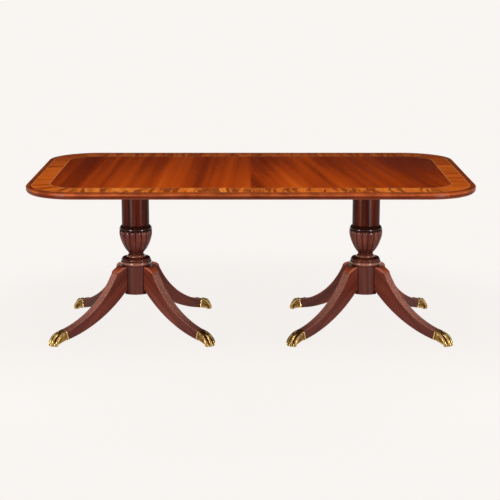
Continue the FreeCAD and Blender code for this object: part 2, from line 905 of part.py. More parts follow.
def rod_nuts(label):
    """A washer and a nut at each end of the tie rod."""
    body = new_body(label)
    seat = under_top - nut_recess
    foot = plate_low - d.washer_thickness
    stacks = [
        (washer_radius, seat, seat + d.washer_thickness),
        (d.foot_washer_radius, foot, foot - d.nut_height),
    ]
    for washer, low, nut_low in stacks:
        pins(body, "XY_Plane", [(ZERO, ZERO)], washer, d.washer_thickness, low)
        pad(body, "XY_Plane", hexagon(d.nut_flats), d.nut_height, nut_low)
    bores(body, "XY_Plane", [(ZERO, ZERO)], d.rod_radius, under_top, ZERO)
    return body


def base_plate(label):
    """The iron plate let into the hub's underside, below the ends of the leg tongues."""
    body = new_body(label)
    rim_radius = hub_recess_radius - d.wood_clearance
    pins(body, "XY_Plane", [(ZERO, ZERO)], rim_radius, d.plate_thickness, plate_low)
    bores(body, "XY_Plane", [(ZERO, ZERO)], rod_bore, d.plate_thickness, plate_low)
    bores(body, "XY_Plane", plate_screws, d.screw_radius, d.plate_thickness, plate_low)
    return body


def base_screws(label):
    """Four screws up through the base plate into the hub."""
    body = new_body(label)
    head_low = plate_low - d.screw_head_height
    pins(body, "XY_Plane", plate_screws, d.screw_head_radius, d.screw_head_height, head_low)
    pins(body, "XY_Plane", plate_screws, d.screw_radius, d.plate_thickness + d.screw_bite, plate_low)
    return body


# Sabre legs and paw caps, drawn along X from the pedestal's axis

knee_reach = d.hub_radius + d.knee_length
knee_height = leg_top - d.knee_drop
knee_run = d.ankle_reach - knee_reach
knee_fall = knee_height - d.ankle_height
sweep_lean = knee_fall * cosine(d.ankle_slope) - knee_run * sine(d.ankle_slope)
sweep_radius = (knee_run * knee_run + knee_fall * knee_fall) / sweep_lean / 2
sweep_centre = (
    d.ankle_reach + sweep_radius * sine(d.ankle_slope),
    d.ankle_height + sweep_radius * cosine(d.ankle_slope),
)
knee_slope = heading(sweep_centre[0] - knee_reach, sweep_centre[1] - knee_height)
paw_reach = d.ankle_reach + d.paw_length
knuckle_reach = paw_reach - d.toe_length
toe_bottom_reach = paw_reach - d.toe_overhang


def at_ankle(along, up):
    """A point in the leg's side view: along the ankle's run, and up square to it, from its top edge."""
    return (
        d.ankle_reach + along * cosine(d.ankle_slope) + up * sine(d.ankle_slope),
        d.ankle_height - along * sine(d.ankle_slope) + up * cosine(d.ankle_slope),
    )


def leg(label):
    """A sabre leg: plain knee, reeded sweep, dovetail tongue at the hub and tenon for its paw."""
    body = new_body(label)
    root_x = d.hub_radius * ROOT_SHARE
    step_x = knee_reach + d.knee_step * sine(knee_slope)
    step_z = knee_height + d.knee_step * cosine(knee_slope)
    under = at_ankle(ZERO, -d.ankle_depth)
    pad(body, "XZ_Plane", [
        (root_x, leg_root),
        (d.hub_radius, leg_root),
        under + (d.under_radius,),
        (d.ankle_reach, d.ankle_height),
        (knee_reach, knee_height, -sweep_radius),
        (step_x, step_z),
        (d.hub_radius, leg_top, d.knee_round),
        (root_x, leg_top),
    ], d.leg_width, symmetric=True)
    reeds(body)
    socket = d.hub_radius + d.wood_clearance
    bores(body, "XY_Plane", [(ZERO, ZERO)], socket, leg_top, ZERO)
    back, mouth, wide = dovetail(ZERO)
    lip = d.hub_radius + d.dovetail_depth
    tongue = [(back, -wide), (d.hub_radius, -mouth), (lip, -mouth), (lip, mouth), (d.hub_radius, mouth),
              (back, wide)]
    pad(body, "XY_Plane", tongue, tongue_top - leg_root, leg_root)
    spare = (d.ankle_depth - d.leg_tenon_depth) / 2
    pad(body, "XZ_Plane", [
        at_ankle(-d.overrun, -spare), at_ankle(d.leg_tenon, -spare),
        at_ankle(d.leg_tenon, -d.ankle_depth + spare), at_ankle(-d.overrun, -d.ankle_depth + spare),
    ], d.leg_tenon_width, symmetric=True)
    return body


def reeds(body):
    """Rounded reeds along the top of the sweep, from the knee's step to the ankle."""
    span = d.leg_width - d.reed_margin * 2
    pitch = span / d.reed_count
    reed_radius = arc_radius(pitch, d.reed_height)
    floor = sweep_radius + d.reed_depth
    lip = sweep_radius - d.overrun
    points = [(-lip, -span / 2), (-floor, -span / 2)]
    for step in range(1, int(d.reed_count.value) + 1):
        points.append((-floor, pitch * step - span / 2, reed_radius))
    points.append((-lip, span / 2))
    scoop(body, sweep_centre, d.ankle_slope - QUARTER_TURN, knee_slope - d.ankle_slope, points)


def paw(label):
    """A cast cap in the form of a paw: ferrule, four toes and a socket for the leg's tenon."""
    body = new_body(label)
    back_top = at_ankle(ZERO, d.paw_proud)
    back_low = at_ankle(ZERO, -d.ankle_depth - d.paw_proud)
    pad(body, "XZ_Plane", [
        back_low,
        (toe_bottom_reach - d.pad_length, ZERO),
        (toe_bottom_reach, ZERO),
        (paw_reach, d.toe_height, d.toe_bottom_round),
        (knuckle_reach, d.ankle_height - d.knuckle_drop, d.toe_round),
        back_top + (d.knuckle_round,),
    ], d.paw_width, symmetric=True)
    half = d.paw_width / 2
    slim = d.leg_width / 2 + d.paw_proud
    front = d.paw_width * PAW_FRONT_SHARE / 2
    ferrule = at_ankle(d.ferrule_length, ZERO)[0]
    back = back_low[0] - d.overrun
    tip = paw_reach + d.overrun
    for side in (-1, 1):
        flank = [
            (back, slim * side), (ferrule, slim * side), (knuckle_reach, half * side),
            (paw_reach, front * side, d.paw_front_round * -side),
            (tip, front * side),
            (tip, (half + d.overrun) * side), (back, (half + d.overrun) * side),
        ]
        cut(body, "XY_Plane", flank, leg_top, -d.overrun)
    pitch = d.paw_width / d.toe_count
    for step in range(1, int(d.toe_count.value)):
        low = pitch * step - half - d.toe_gap / 2
        gap = rectangle(paw_reach - d.toe_gap_depth, tip, low, low + d.toe_gap)
        cut(body, "XY_Plane", gap, leg_top, d.toe_gap_floor)
    spare = (d.ankle_depth - d.leg_tenon_depth) / 2 - d.wood_clearance
    deep = d.leg_tenon + d.wood_clearance
    cut(body, "XZ_Plane", [
        at_ankle(-d.overrun, -spare), at_ankle(deep, -spare),
        at_ankle(deep, -d.ankle_depth + spare), at_ankle(-d.overrun, -d.ankle_depth + spare),
    ], d.leg_tenon_width + d.wood_clearance * 2, symmetric=True)
    return body


# Build the table

for side, half_turn in SIDES.items():
    bore = (d.pin_radius, d.pin_bed) if side == "left" else (d.socket_radius, d.socket_depth)
    halves = [
        top_core(f"{side}_top_core", *bore),
        edge_moulding(f"{side}_edge_moulding"),
        veneer(f"{side}_field_veneer", field_rim(ZERO)),
        veneer(f"{side}_crossband", rim(d.border_width + d.string_width), field_rim(d.string_width)),
        stringing(f"{side}_stringing"),
        bearers(f"{side}_bearers"),
        mounting_block(f"{side}_mounting_block"),
        top_screws(f"{side}_top_screws"),
    ]
    for end, rail_row in rail_rows.items():
        seen_end = {"rear": "front", "front": "rear"}[end] if side == "left" else end
        halves.append(half_rail(f"{side}_{seen_end}_rail", rail_row))
    halves.append(seam_pins("seam_pins") if side == "left" else seam_sockets("seam_sockets"))
    halves.append(latch_posts("latch_pivots" if side == "left" else "latch_keepers", side == "right"))
    for piece in halves:
        place(piece, angle=half_turn)
    column = pedestal_x if side == "right" else -pedestal_x
    for make in (column_shaft, fluted_urn, collar, hub, tie_rod, rod_nuts, base_plate, base_screws):
        place(make(f"{side}_{make.__name__}"), column)
    for corner, leg_angle in LEGS.items():
        place(leg(f"{side}_{corner}_leg"), column, angle=leg_angle)
        place(paw(f"{side}_{corner}_paw"), column, angle=leg_angle)

middle_rail("front_middle_rail", -d.rail_offset)
middle_rail("rear_middle_rail", d.rail_offset)
latch_lever("front_latch_lever", -d.latch_offset, QUARTER_TURN, -1)
latch_lever("rear_latch_lever", d.latch_offset, -QUARTER_TURN, 1)
doc.recompute()

# Check everything before anything is written
for item in doc.Objects:
    if "Invalid" in item.State or "Error" in item.State:
        raise RuntimeError(f"{item.Label} failed: {item.State}")
    if item.TypeId in ("PartDesign::Pocket", "PartDesign::Groove"):
        if item.Shape.Volume >= item.BaseFeature.Shape.Volume:
            raise RuntimeError(f"{item.Label} cut nothing")
for node in nodes:
    if node.Shape.isNull() or not node.Shape.isValid():
        raise RuntimeError(f"{node.Label} has no valid shape")

os.makedirs("parts", exist_ok=True)
for node in nodes:
    node.Shape.exportStep(f"parts/{node.Label}.step")
print(len(nodes), "sub-parts written")
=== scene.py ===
# %% [markdown]
# # A double pedestal dining table
# The table has a crossbanded mahogany top in two halves, two turned pedestals with sabre legs, and a brass
# lion's paw on each leg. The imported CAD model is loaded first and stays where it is. The lesson then gives
# each piece its finish. It also models the paws, the carved urns and the collars, because their carving and
# turning are finer than those of the plain solids.

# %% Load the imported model
import math

import bpy
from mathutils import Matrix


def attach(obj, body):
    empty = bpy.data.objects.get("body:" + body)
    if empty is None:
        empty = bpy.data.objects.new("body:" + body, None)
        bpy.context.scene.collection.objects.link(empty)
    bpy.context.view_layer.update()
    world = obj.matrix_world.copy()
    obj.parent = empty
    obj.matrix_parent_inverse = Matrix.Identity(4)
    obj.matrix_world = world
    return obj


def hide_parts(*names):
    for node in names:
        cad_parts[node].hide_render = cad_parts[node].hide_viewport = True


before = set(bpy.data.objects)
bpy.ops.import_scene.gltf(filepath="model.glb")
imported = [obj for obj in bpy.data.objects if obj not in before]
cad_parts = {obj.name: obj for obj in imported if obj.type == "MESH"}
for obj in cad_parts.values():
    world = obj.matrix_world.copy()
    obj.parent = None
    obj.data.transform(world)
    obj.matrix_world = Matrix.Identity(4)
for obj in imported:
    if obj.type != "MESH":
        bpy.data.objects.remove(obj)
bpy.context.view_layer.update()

# %% [markdown]
# ## Camera
# The photograph was taken from straight ahead, a little above the top, with a long lens. A parallel view
# could stand in for it, but the ends of the top show some perspective, so the real distance is used.

# %% Camera
LENS = 99.94
TILT = 77.64
STAND = (-0.0037, -6.4673, 1.7968)
FARTHEST = 500

camera_data = bpy.data.cameras.new("camera")
camera_data.lens = LENS
camera_data.clip_end = FARTHEST
camera = bpy.data.objects.new("camera", camera_data)
camera.location = STAND
camera.rotation_euler = (math.radians(TILT), 0, 0)
bpy.context.scene.collection.objects.link(camera)
bpy.context.scene.camera = camera
bpy.context.scene.view_settings.view_transform = "Standard"
print("camera", camera.location[:], "lens", LENS)

# %% [markdown]
# ## Writing shaders as sums
# Each finish below mixes noises that are stretched along the grain. Wiring Math nodes by hand hides the sum,
# so a small class wraps one socket: adding or multiplying two of them adds the Math node. Colours are mixed
# with Mix nodes, because a Math node would turn them grey.


# %% The class that wraps a socket
class Value:
    """One output socket of a node tree; sums and products of values add Math nodes."""

    def __init__(self, tree, socket=None):
        self.tree = tree
        self.socket = socket

    def node(self, kind, settings=None, sockets=None, out=0):
        """Add any node: its settings first, then the values or links of its sockets."""
        made = self.tree.nodes.new("ShaderNode" + kind)
        for name, setting in (settings or {}).items():
            if name == "stops":
                stops = made.color_ramp.elements
                stops.remove(stops[1])
                stops[0].position, stops[0].color = setting[0]
                for place, colour in setting[1:]:
                    stops.new(place).color = colour
            else:
                setattr(made, name, setting)
        for name, value in (sockets or {}).items():
            if isinstance(value, Value):
                self.tree.links.new(value.socket, made.inputs[name])
            else:
                made.inputs[name].default_value = value
        return Value(self.tree, made.outputs[out])

    def math(self, operation, *others):
        return self.node("Math", {"operation": operation}, dict(enumerate((self, *others))))

    def __add__(self, other):
        return self.math("ADD", other)

    def __sub__(self, other):
        if isinstance(other, tuple):
            return self.node("VectorMath", {"operation": "SUBTRACT"}, {0: self, 1: other})
        return self.math("SUBTRACT", other)

    def __rsub__(self, other):
        return self.node("Math", {"operation": "SUBTRACT"}, {0: other, 1: self})

    def __mul__(self, other):
        return self.math("MULTIPLY", other)

    __radd__ = __add__
    __rmul__ = __mul__

    def mix(self, start, end):
        """Go from one colour to another as this value goes from 0 to 1."""
        return self.node("Mix", {"data_type": "RGBA"}, {0: self, 6: start, 7: end}, out=2)

    def step(self, low, high, start=0.0, end=1.0):
        """A smooth step from start to end as this value goes from low to high."""
        return self.node("MapRange", {"interpolation_type": "SMOOTHSTEP"},
                         {"Value": self, "From Min": low, "From Max": high, "To Min": start, "To Max": end})

    def band(self, start, full, fade, end):
        """1 while this value lies between full and fade, and smoothly down to 0 at start and end."""
        return self.step(start, full) * self.step(end, fade)

    def stops(self, *stops):
        """A colour ramp over this value."""
        return self.node("ValToRGB", {"stops": stops}, {0: self})

    def noise(self, scale, detail=3.0, rough=0.5, bent=0.0):
        """Noise over this vector, stretched by a scale for each axis."""
        stretched = self.node("Mapping", {}, {"Vector": self, "Scale": scale})
        return self.node("TexNoise", {}, {"Vector": stretched, "Scale": 1.0, "Detail": detail,
                                          "Roughness": rough, "Distortion": bent})

    def axes(self):
        """The three numbers of this vector."""
        split = self.node("SeparateXYZ", {}, {0: self}).socket.node
        return [Value(self.tree, output) for output in split.outputs]

    def point(self, x, y, z):
        """A vector from three numbers."""
        return self.node("CombineXYZ", {}, {0: x, 1: y, 2: z})


def tone(red, green, blue):
    """A colour as read off a screen, made linear for the shader by the sRGB curve."""
    shares = [level / 255 for level in (red, green, blue)]
    return (*[s / 12.92 if s <= 0.04045 else ((s + 0.055) / 1.055) ** 2.4 for s in shares], 1.0)


def grey(level):
    """A grey of a linear level, also for ramps that hold plain numbers."""
    return (level, level, level, 1.0)


class Finish:
    """A material with one Principled shader, and the place on the piece to draw patterns by."""

    def __init__(self, name, constants):
        self.material = bpy.data.materials.new(name)
        self.material.use_nodes = True
        tree = self.material.node_tree
        self.shader = tree.nodes["Principled BSDF"]
        self.place = Value(tree).node("TexCoord", out="Object")
        for socket, value in constants.items():
            self.shader.inputs[socket].default_value = value

    def feed(self, socket, value):
        self.material.node_tree.links.new(value.socket, self.shader.inputs[socket])

    def bump(self, height, depth):
        self.feed("Normal", height.node("Bump", {}, {"Strength": 1.0, "Distance": depth, "Height": height}))

    def wear(self, *nodes):
        """Give this finish to CAD nodes."""
        for node in nodes:
            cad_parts[node].material_slots[0].material = self.material
        print(self.material.name, "on", len(nodes), "nodes")


print("screen 128 is linear", round(tone(128, 128, 128)[0], 3))

# %% [markdown]
# ## Studio
# The photograph shows the table on plain off-white. A white box would do, but the polished top is seen at a
# flat angle and would mirror its walls, so the room is one wide floor under a pale sky. The floor shows its
# pale colour to the camera, most of all far from the table, and near the table it keeps a soft shadow.

# %% Floor
PALE = tone(249, 245, 242)
FLOOR_TONE = tone(226, 222, 219)
FLOOR_SIZE = 300
NEAR = 1.2
FAR = 1.9
NEAR_SHARE = 0.94


def seen(value):
    """1 for rays from the camera, from polished surfaces and through glass."""
    rays = value.node("LightPath").socket.node.outputs
    camera_ray, glossy_ray, clear_ray = [Value(value.tree, rays[f"Is {kind} Ray"])
                                         for kind in ("Camera", "Glossy", "Transmission")]
    return (camera_ray + glossy_ray + clear_ray).math("MINIMUM", 1.0)


bpy.ops.object.select_all(action="DESELECT")
bpy.ops.mesh.primitive_plane_add(size=FLOOR_SIZE)
floor = bpy.context.object
floor.name = "studio_floor"

floor_finish = Finish("studio_floor", {"Roughness": 0.9, "Specular IOR Level": 0.0,
                                       "Base Color": FLOOR_TONE})
place = floor_finish.place
distance = place.node("VectorMath", {"operation": "LENGTH"}, {0: place}, out="Value")
glow = place.node("Emission", {}, {"Color": PALE, "Strength": 1.0})
matt = Value(place.tree, floor_finish.shader.outputs[0])
share = seen(place) * distance.step(NEAR, FAR, NEAR_SHARE, 1.0)
floor_shader = place.node("MixShader", {}, {0: share, 1: matt, 2: glow})
place.tree.links.new(floor_shader.socket, place.tree.nodes["Material Output"].inputs["Surface"])
floor.data.materials.append(floor_finish.material)
print("floor", FLOOR_SIZE, "m wide")

# %% [markdown]
# A narrow upright lamp, called a strip box, draws a thin line of light down a turned column, where a broad
# lamp would wash the dark wood grey. Two of them stand in front, hardly higher than the top, so that the
# polish doesn't mirror them. One large box overhead lights the top, and the sky fills the shadows a little.

# %% Sky and lamps
SKY_FILL = 0.22
LAMP_AZIMUTH = 42

world = bpy.data.worlds.new("studio_sky")
bpy.context.scene.world = world
world.use_nodes = True
sky = Value(world.node_tree)
sky_strength = seen(sky) * (1.0 - SKY_FILL) + SKY_FILL
background = world.node_tree.nodes["Background"]
background.inputs["Color"].default_value = PALE
world.node_tree.links.new(sky_strength.socket, background.inputs["Strength"])


def soft_box(name, azimuth, reach, height, tip, size, power):
    """An area lamp at a distance from the table's middle and a height, tipped down by an angle."""
    lamp = bpy.data.lights.new(name, "AREA")
    lamp.shape = "RECTANGLE"
    lamp.size, lamp.size_y = size
    lamp.energy = power
    lamp_object = bpy.data.objects.new(name, lamp)
    turn = math.radians(azimuth)
    lamp_object.location = (reach * math.sin(turn), -reach * math.cos(turn), height)
    lamp_object.rotation_euler = (math.radians(90 - tip), 0, turn)
    lamp_object.visible_camera = False
    bpy.context.scene.collection.objects.link(lamp_object)


for side, azimuth in (("left", -LAMP_AZIMUTH), ("right", LAMP_AZIMUTH)):
    soft_box(f"{side}_strip_box", azimuth, reach=2.3, height=0.43, tip=0, size=(0.42, 0.76), power=22)
soft_box("overhead_box", 0, reach=0.9, height=3.1, tip=75, size=(2.4, 1.4), power=62)
print("two upright strip boxes and one box overhead")

# %% [markdown]
# Photographers stand black screens round a polished table, because a flat view of the polish mirrors the
# room like glass. The screens here are a ring of dark cloth that only mirrors see: a circle, extruded
# upwards.

# %% Black screens
SCREEN_SIDES = 64
SCREEN_RADIUS = 9.0
SCREEN_FOOT = 1.0
SCREEN_RISE = 6.0

bpy.ops.object.select_all(action="DESELECT")
bpy.ops.mesh.primitive_circle_add(vertices=SCREEN_SIDES, radius=SCREEN_RADIUS,
                                  location=(0, 0, SCREEN_FOOT))
screens = bpy.context.object
screens.name = "studio_screens"
bpy.ops.object.transform_apply(location=True)
bpy.ops.object.mode_set(mode="EDIT")
bpy.ops.mesh.extrude_region_move(TRANSFORM_OT_translate={"value": (0, 0, SCREEN_RISE)})
bpy.ops.object.mode_set(mode="OBJECT")
screens.visible_camera = False
screens.visible_diffuse = False
screens.visible_shadow = False
screens.visible_transmission = False
screen_finish = Finish("black_cloth", {"Base Color": grey(0.02), "Roughness": 1.0,
                                       "Specular IOR Level": 0.0})
screens.data.materials.append(screen_finish.material)
print("screens", len(screens.data.polygons), "faces")

# %% [markdown]
# ## The field of the top
# Each half of the top is laid with one leaf of striped mahogany, its grain running from front to back, so
# the stripes meet the crossband squarely. A wave texture would make the stripes too even; noise that is
# stretched a long way along the grain gives ribbons of every width. The maker chose the leaves by their
# stripes, so a ramp along the table places the broad dark and bright ones.

# %% Field veneer
TURN_RIGHT = 0.15
TURN_LEFT = -0.03
NEXT_LEAF = 7.3
FIELD_REACH = 0.47
PORE_DEPTH = 0.00004
STRIPES = ((0.03, 0.3), (0.14, 0.42), (0.2, 0.6), (0.27, 0.48), (0.33, 0.58), (0.38, 0.45), (0.46, 0.58),
           (0.495, 0.62), (0.505, 0.28), (0.53, 0.3), (0.575, 0.62), (0.62, 0.68), (0.665, 0.35),
           (0.73, 0.52), (0.8, 0.48), (0.86, 0.32), (0.97, 0.36))

field = Finish("field_mahogany", {"Specular IOR Level": 0.07, "Roughness": 0.2})
place = field.place
x, y, _ = place.axes()
right = x.math("GREATER_THAN", 0.0)
lean = x + y * (right * (TURN_RIGHT - TURN_LEFT) + TURN_LEFT)
leaf = place.point(lean + right * NEXT_LEAF, y, right)
broad = leaf.noise((7, 0.3, 1), detail=0)
ribbon = leaf.noise((24, 0.3, 1), detail=0.5)
lines = leaf.noise((120, 0.9, 1), detail=2)
hairs = leaf.noise((700, 6, 1), detail=2)
chosen = (x * 0.5 + 0.5).stops(*[(share, grey(level)) for share, level in STRIPES])
figure = broad * 0.45 + ribbon * 0.45 + lines * 0.13 + hairs * 0.11 - 0.07 + (chosen - 0.5) * 0.6
# The leaves have painted light, brighter towards the front, and are browner in the far right corner.
figure = figure + y.step(FIELD_REACH, -FIELD_REACH, -0.09, 0.07)
colour = figure.stops((0.25, tone(112, 32, 4)), (0.42, tone(142, 48, 4)), (0.52, tone(164, 60, 6)),
                      (0.64, tone(182, 70, 10)), (0.8, tone(204, 90, 20)))
shade = x.step(0.2, 0.95) * y.step(-0.3, 0.45) * 0.55
colour = shade.mix(colour, tone(100, 38, 26))
pores = leaf.noise((1300, 60, 1), detail=2).step(0.6, 0.72)
field.feed("Base Color", (pores * 0.15).mix(colour, tone(70, 20, 6)))
field.bump(pores * -1.0, PORE_DEPTH)
field.wear("left_field_veneer", "right_field_veneer")

# %% [markdown]
# ## Distances along and across the edge
# The crossband, the strings and the moulded edge follow the outline of the top round its corners. Their
# grain can't follow straight axes, so two numbers are worked out for each point: how far it lies in from
# the edge, and how far along the edge it is. An unwrapped UV map could hold the same numbers, but CAD
# nodes have none. A third number differs between the halves and between front and back, so that no length
# of veneer repeats.

# %% Along and across
CORNER_RADIUS = 0.232
CORNER_X = 0.768
CORNER_Y = 0.368
FRONT_TO_BACK = 1.5
BETWEEN_HALVES = 4.0


def edge_places(place):
    """The distance in from the edge, the distance along it, and the number of the length of veneer."""
    x, y, _ = place.axes()
    out_x, out_y = x.math("ABSOLUTE"), y.math("ABSOLUTE")
    past_x = (out_x - CORNER_X).math("MAXIMUM", 0.0)
    past_y = (out_y - CORNER_Y).math("MAXIMUM", 0.0)
    inward = CORNER_RADIUS - (past_x * past_x + past_y * past_y).math("SQRT")
    turn = past_y.math("ARCTAN2", past_x)
    along = (out_x.math("MINIMUM", CORNER_X) + CORNER_RADIUS * (math.pi / 2 - turn)
             + (CORNER_Y - out_y.math("MINIMUM", CORNER_Y)))
    return inward, along, y * FRONT_TO_BACK + x.math("SIGN") * BETWEEN_HALVES


print("half of the edge is", round(2 * (CORNER_X + CORNER_Y) + CORNER_RADIUS * math.pi, 3), "m long")

# %% [markdown]
# ## Crossband, strings and edge
# The crossband is golden veneer with its grain laid across the band, in short lengths, so that it fans round
# the corners. Dark curls cross it where the leaf was cut near a crotch. A pale string lies on each side of
# it, and the solid edge outside has its grain along the edge.

# %% Crossband
band = Finish("crossband_satinwood", {"Specular IOR Level": 0.08, "Roughness": 0.2})
place = band.place
x, y, _ = place.axes()
inward, along, half = edge_places(place)
strip = place.point(along, inward, half)
sway = strip.noise((5, 9, 1), detail=2)
swayed = place.point(along + sway * 0.04, inward, half)
curls = swayed.noise((36, 3.5, 1), detail=2, rough=0.6, bent=0.3)
bars = swayed.noise((17, 2, 1), detail=3)
patches = strip.noise((6, 2, 1), detail=2)
fine = swayed.noise((240, 6, 1))
hairs = swayed.noise((900, 20, 1), detail=2)
golden = (patches * 0.5 + fine * 0.7 + hairs * 0.3 - 0.25).stops(
    (0.3, tone(196, 88, 22)), (0.5, tone(224, 114, 36)), (0.72, tone(246, 152, 64)))
dark = (curls.step(0.48, 0.56) * 0.8).math("MAXIMUM", bars.step(0.54, 0.64) * 0.5)
colour = dark.mix(golden, tone(118, 46, 16))
# The band is redder and streaked at the ends of the table, has painted shade at the back, and is darker by
# the seam.
redder = x.math("ABSOLUTE").step(0.8, 0.92) * 0.7
streaks = (fine * 0.3 + bars * 0.7).stops((0.36, tone(152, 54, 3)), (0.62, tone(240, 110, 24)))
colour = redder.mix(colour, streaks)
shade_behind = y.step(0.1, 0.4) * 0.5
colour = shade_behind.mix(colour, tone(136, 50, 16))
by_seam = x.band(-0.004, 0.004, 0.03, 0.1) * 0.5
band.feed("Base Color", by_seam.mix(colour, tone(112, 40, 12)))
band.wear("left_crossband", "right_crossband")

# %% Strings
string = Finish("boxwood_string", {"Specular IOR Level": 0.08, "Roughness": 0.22})
place = string.place
inward, along, half = edge_places(place)
strip = place.point(along, inward, half)
flecks = strip.noise((40, 900, 1))
string.feed("Base Color", flecks.stops((0.3, tone(196, 112, 56)), (0.7, tone(236, 160, 96))))
string.wear("left_stringing", "right_stringing")

# %% Edge
# Tones up the edge by height: the pale band high up is a painted highlight along the arris, and the dark
# line below the middle is painted shade in the quirk.
EDGE_TONES_WITH_PAINTED_LIGHT = (
    (0.0, tone(98, 40, 22)), (0.26, tone(108, 47, 27)), (0.36, tone(88, 34, 16)), (0.44, tone(120, 54, 28)),
    (0.58, tone(130, 58, 30)), (0.66, tone(164, 80, 44)), (0.72, tone(194, 106, 64)),
    (0.78, tone(170, 82, 40)), (0.86, tone(156, 68, 20)), (1.0, tone(152, 62, 14)))
TOP_FOOT = 0.73
TOP_THICKNESS = 0.03
DARK_LINE = (0.0195, 0.0215, 0.0235, 0.0245)

edge = Finish("edge_mahogany", {"Specular IOR Level": 0.05, "Roughness": 0.25})
place = edge.place
_, _, z = place.axes()
inward, along, half = edge_places(place)
strip = place.point(along, inward + z, half)
ribbon = strip.noise((5, 130, 1), detail=4, bent=0.5)
lines = strip.noise((14, 700, 1))
mottle = strip.noise((16, 12, 1), detail=2)
figure = ribbon * 0.5 + lines * 0.35 + mottle * 0.45 - 0.15
height = (z - TOP_FOOT) * (1 / TOP_THICKNESS)
colour = figure.step(0.36, 0.6, 0.25, 1.0).mix(tone(84, 26, 8), height.stops(*EDGE_TONES_WITH_PAINTED_LIGHT))
edge.feed("Base Color", inward.band(*DARK_LINE).mix(colour, tone(78, 26, 10)))
edge.wear("left_edge_moulding", "right_edge_moulding")

# %% [markdown]
# ## Turned and shaped mahogany
# The columns, urns, collars and hubs are turned from dark, polished mahogany, with the grain upright. The
# same noises serve, stretched along the height. The quirks, the grooves between the turned members, get
# painted shade, and so do the left and right sides of each column and hub. The rings and bell of the collar
# have a glossy coat, and a painted highlight makes them paler.


# %% Wood by its grain
def mahogany(place, grain, dark, middle, light):
    """Ribbons, fine lines and pores, long along the axis where grain is small. Gives a colour and pores."""
    ribbon = place.noise([26 * share for share in grain], detail=4, bent=0.5)
    lines = place.noise([140 * share for share in grain])
    hairs = place.noise([600 * share for share in grain], detail=2)
    pores = place.noise([1100 * share for share in grain], detail=2).step(0.6, 0.72)
    figure = ribbon * 0.8 + lines * 0.35 + hairs * 0.2 - 0.175
    colour = figure.stops((0.32, dark), (0.5, middle), (0.68, light))
    return (pores * 0.4).mix(colour, dark), pores


# %% Column, collar and hub
UPRIGHT = (1, 1, 0.05)
GLOSS = {"Roughness": 0.24, "Coat Roughness": 0.16}
QUIRK_SHADE = ((0.684, 0.004), (0.507, 0.003), (0.3635, 0.002), (0.3478, 0.0012), (0.3418, 0.0012),
          (0.3338, 0.0015), (0.3124, 0.003))
POLISHED = ((0.3515, 0.3585), (0.3345, 0.341), (0.3215, 0.3335))
POLISH_BLUR = 0.001
BELL_HIGHLIGHT = (0.3485, 0.351, 0.358, 0.362)
BROAD_RING_HIGHLIGHT = (0.315, 0.32, 0.329, 0.333)
COLUMN_PLACE = 0.547
COLUMN_FLANK_SHADE = (0.03, 0.064)
HUB_FLANK_SHADE = (0.031, 0.04)
TURNED = {
    "column_shaft": (0.06, (tone(38, 8, 3), tone(68, 19, 9), tone(104, 38, 16))),
    "collar": (0.1, (tone(70, 25, 15), tone(100, 43, 28), tone(124, 60, 41))),
    "hub": (0.12, (tone(74, 32, 24), tone(91, 44, 35), tone(107, 56, 46))),
}
turned_finishes = {}

for piece, (shine, tones) in TURNED.items():
    turned = Finish(f"turned_{piece}", {"Specular IOR Level": shine, **GLOSS})
    place = turned.place
    x, _, z = place.axes()
    colour, pores = mahogany(place, UPRIGHT, *tones)
    if piece == "collar":
        # The bell and the broad ring get a painted highlight, and the coat bands a glossy coat.
        painted_highlight = (z.band(*BELL_HIGHLIGHT) * 0.3).math("MAXIMUM", z.band(*BROAD_RING_HIGHLIGHT) * 0.45)
        colour = painted_highlight.mix(colour, tone(186, 120, 98))
        coats = [z.step(low - POLISH_BLUR, low) * z.math("LESS_THAN", high) for low, high in POLISHED]
        turned.feed("Coat Weight", sum(coats))
    # Painted shade darkens the left and right sides of the column and the hub, and every quirk.
    across = (x.math("ABSOLUTE") - COLUMN_PLACE).math("ABSOLUTE")
    shaded = across.step(*HUB_FLANK_SHADE) if piece == "hub" else across.step(*COLUMN_FLANK_SHADE) * 0.7
    for height, reach in QUIRK_SHADE:
        shaded = shaded.math("MAXIMUM", (z - height).math("ABSOLUTE").step(reach, 0.0))
    turned.feed("Base Color", (shaded * 0.75).mix(colour, tone(30, 8, 5)))
    turned.bump(pores * -1.0, PORE_DEPTH)
    turned.wear(f"left_{piece}", f"right_{piece}")
    turned_finishes[piece] = turned

# %% [markdown]
# Each leg is sawn from a plank, so its grain runs straight from knee to ankle and is cut short by the
# curve. A Mapping node turns the pattern to each leg's own direction, and a second one tips it along the
# slope, with a shift of its own for each leg. The reeds of the upper side get a painted sheen, and its
# corners painted highlights. The distance from the centre of the sweep tells how deep a point lies below
# that side.

# %% Legs
PEDESTALS = {"left": -COLUMN_PLACE, "right": COLUMN_PLACE}
LEGS = {"front_right": -42, "rear_right": 48, "rear_left": 132, "front_left": 222}
LEG_SLOPE = 37.6
SWEEP_CENTRE = (0.5229, 0, 0.4959)
SWEEP = 0.445
REED_FOOT = 0.0021
REED_CREST = 0.0005
KNEE = 0.13
KNEE_BLUR = 0.004
FLAT_START = 0.075
FLAT_HEIGHT = 0.310
FLAT_SLOPE = 0.418
LEG_EDGE_HIGHLIGHT = (0.0168, 0.0188)


